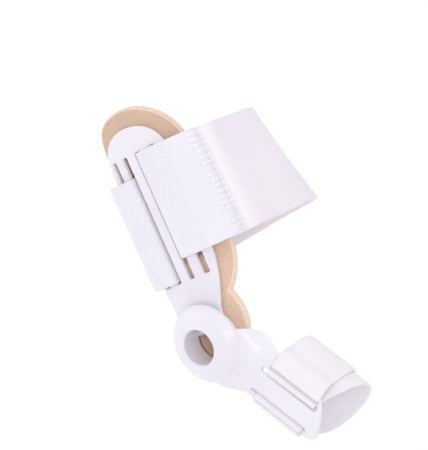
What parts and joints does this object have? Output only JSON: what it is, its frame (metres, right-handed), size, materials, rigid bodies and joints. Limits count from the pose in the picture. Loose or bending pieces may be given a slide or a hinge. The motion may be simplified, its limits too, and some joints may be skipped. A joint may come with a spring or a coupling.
{
  "type": "bunion corrector brace",
  "caption": "Hinged plastic splint for the big toe joint, with a foam pad behind it, a broad strap round the midfoot and a narrow strap round the big toe.",
  "frame": {"origin": "on the inner face of the pad, at the middle of its curve and of the foot strap, where the foot's inner side bears on it", "axes": "+X along the arch splint towards the toes, +Y into the foot, +Z towards the instep"},
  "size_m": [0.1701, 0.11, 0.084],
  "materials": {
    "plastic": "satin white",
    "foam": "soft beige foam",
    "webbing": "white brushed loop"
  },
  "bodies": {
    "arch": {"arch_plate": "plastic", "arch_pad": "foam", "foot_strap": "webbing"},
    "toe": {"toe_plate": "plastic", "toe_strap": "webbing"}
  },
  "joints": [
    {"name": "toe_hinge", "type": "hinge", "parent": "arch", "child": "toe", "pos_m": [0.06, -0.0093, -0.003], "axis": [0, -1, 0], "range_deg": [-60, 30]}
  ]
}
